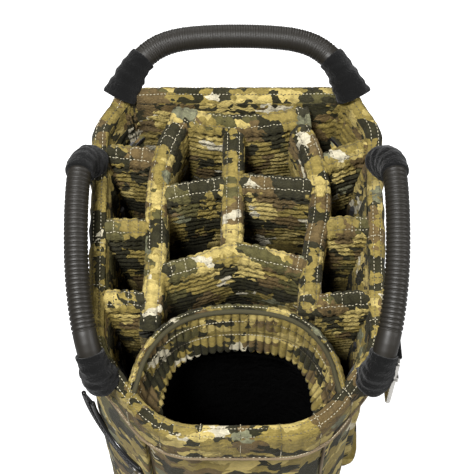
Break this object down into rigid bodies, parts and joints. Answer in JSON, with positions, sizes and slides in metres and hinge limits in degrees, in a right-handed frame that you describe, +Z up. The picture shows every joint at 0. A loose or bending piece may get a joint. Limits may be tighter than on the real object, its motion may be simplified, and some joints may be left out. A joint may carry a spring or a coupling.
{
  "type": "golf stand bag",
  "caption": "Upright golf stand bag with a tilted padded divider top, putter well, three rigid grab handles, zipped pockets and fold-out rear legs.",
  "frame": {"origin": "centre of the sole's underside, on the ground, on the bag's middle plane", "axes": "+Z up along the bag, -Y towards the putter well and ball pocket (the front), +Y towards the legs, +X towards the towel clip"},
  "size_m": [0.3048, 0.368, 0.9168],
  "materials": {
    "moulded_base": "fine moulded texture",
    "sole_rubber": "matte, lightly scuffed",
    "camo_body": "woven polyester printed with a blotched camouflage",
    "camo_padding": "quilted padded polyester with the same camouflage and contrast stitching",
    "grip_rubber": "fine ribs, satin",
    "cuff_fabric": "stretch fabric, matte",
    "strap_fabric": "woven webbing and spacer mesh",
    "black_plastic": "moulded, satin",
    "zip_tape": "coated tape with a glossy coil",
    "nickel": "plated, soft shine",
    "steel": "bright rod",
    "leg_alloy": "dark anodised tube"
  },
  "bodies": {
    "bag": {"base_cup": "moulded_base", "base_sole": "sole_rubber", "lever_pin": "steel", "front_panel": "camo_body", "left_panel": "camo_body", "right_panel": "camo_body", "spine_panel": "camo_body", "body_stays": "black_plastic", "collar_frame": "black_plastic", "collar_pad": "camo_padding", "divider_left": "camo_padding", "divider_right": "camo_padding", "divider_centre": "camo_padding", "crossbar_rear": "camo_padding", "crossbar_left_rear": "camo_padding", "crossbar_left_middle": "camo_padding", "crossbar_left_front": "camo_padding", "crossbar_right_rear": "camo_padding", "crossbar_right_middle": "camo_padding", "crossbar_right_front": "camo_padding", "crossbar_centre_left": "camo_padding", "crossbar_centre_right": "camo_padding", "crossbar_centre_front": "camo_padding", "putter_well_arch": "camo_padding", "putter_well_gusset": "camo_padding", "rear_handle_grip": "grip_rubber", "left_handle_grip": "grip_rubber", "right_handle_grip": "grip_rubber", "rear_handle_cuffs": "cuff_fabric", "left_handle_cuffs": "cuff_fabric", "right_handle_cuffs": "cuff_fabric", "handle_screws": "steel", "apparel_pocket": "camo_body", "apparel_zipper": "zip_tape", "ball_pocket": "camo_body", "ball_zipper": "zip_tape", "valuables_pocket": "camo_body", "valuables_zipper": "zip_tape", "strap_pad": "strap_fabric", "strap_webbing": "strap_fabric", "strap_buckles": "black_plastic", "leg_bracket": "black_plastic", "leg_pins": "steel", "rod_guides": "black_plastic", "clip_loop": "cuff_fabric"},
    "lever": {"foot_lever": "moulded_base"},
    "rods": {"push_rods": "steel"},
    "left_leg": {"left_leg": "leg_alloy", "left_leg_foot": "sole_rubber"},
    "right_leg": {"right_leg": "leg_alloy", "right_leg_foot": "sole_rubber"},
    "apparel_slider": {"apparel_slider": "nickel"},
    "apparel_puller": {"apparel_puller": "nickel"},
    "ball_slider": {"ball_slider": "nickel"},
    "ball_puller": {"ball_puller": "nickel"},
    "valuables_slider": {"valuables_slider": "nickel"},
    "valuables_puller": {"valuables_puller": "nickel"},
    "towel_clip": {"towel_clip": "nickel"},
    "clip_gate": {"clip_gate": "nickel"}
  },
  "joints": [
    {"name": "foot_lever_hinge", "type": "hinge", "parent": "bag", "child": "lever", "pos_m": [0, 0.028, 0.008], "axis": [1, 0, 0], "range_deg": [0, 25]},
    {"name": "push_rod_slide", "type": "slide", "parent": "bag", "child": "rods", "axis": [0, 0, 1], "range_m": [0, 0.05149]},
    {"name": "left_leg_hinge", "type": "hinge", "parent": "bag", "child": "left_leg", "pos_m": [-0.04, 0.147, 0.752], "axis": [0.9063, 0.4226, 0], "range_deg": [0, 32]},
    {"name": "right_leg_hinge", "type": "hinge", "parent": "bag", "child": "right_leg", "pos_m": [0.04, 0.147, 0.752], "axis": [0.9063, -0.4226, 0], "range_deg": [0, 32]},
    {"name": "apparel_zip_slide", "type": "hinge", "parent": "bag", "child": "apparel_slider", "pos_m": [-0.11206, -0.10054, 0.64], "axis": [-0.7463, -0.6656, 0], "range_deg": [-109, 0]},
    {"name": "apparel_pull_hinge", "type": "hinge", "parent": "apparel_slider", "child": "apparel_puller", "pos_m": [-0.10115, -0.12329, 0.5936], "axis": [0.2385, -0.2674, -0.9336], "range_deg": [0, 165]},
    {"name": "ball_zip_slide", "type": "slide", "parent": "bag", "child": "ball_slider", "axis": [1, 0, 0], "range_m": [-0.08, 0]},
    {"name": "ball_pull_hinge", "type": "hinge", "parent": "ball_slider", "child": "ball_puller", "pos_m": [0.04, -0.183, 0.472], "axis": [0, 0, -1], "range_deg": [0, 165]},
    {"name": "valuables_zip_slide", "type": "slide", "parent": "bag", "child": "valuables_slider", "axis": [0, 0, 1], "range_m": [-0.12, 0]},
    {"name": "valuables_pull_hinge", "type": "hinge", "parent": "valuables_slider", "child": "valuables_puller", "pos_m": [0.139, -0.017, 0.615], "axis": [0, 1, 0], "range_deg": [-165, 0]},
    {"name": "towel_clip_swing", "type": "hinge", "parent": "bag", "child": "towel_clip", "pos_m": [0.138, -0.086, 0.784], "axis": [0, -1, 0], "range_deg": [0, 60]},
    {"name": "clip_gate_hinge", "type": "hinge", "parent": "towel_clip", "child": "clip_gate", "pos_m": [0.138, -0.101, 0.758], "axis": [1, 0, 0], "range_deg": [0, 24], "stiffness_Nm_per_rad": 0.05}
  ],
  "couplings": [
    {"joint": "push_rod_slide", "follows": "foot_lever_hinge", "m_per_rad": 0.118},
    {"joint": "left_leg_hinge", "follows": "foot_lever_hinge", "ratio": 1.28},
    {"joint": "right_leg_hinge", "follows": "foot_lever_hinge", "ratio": 1.28}
  ]
}
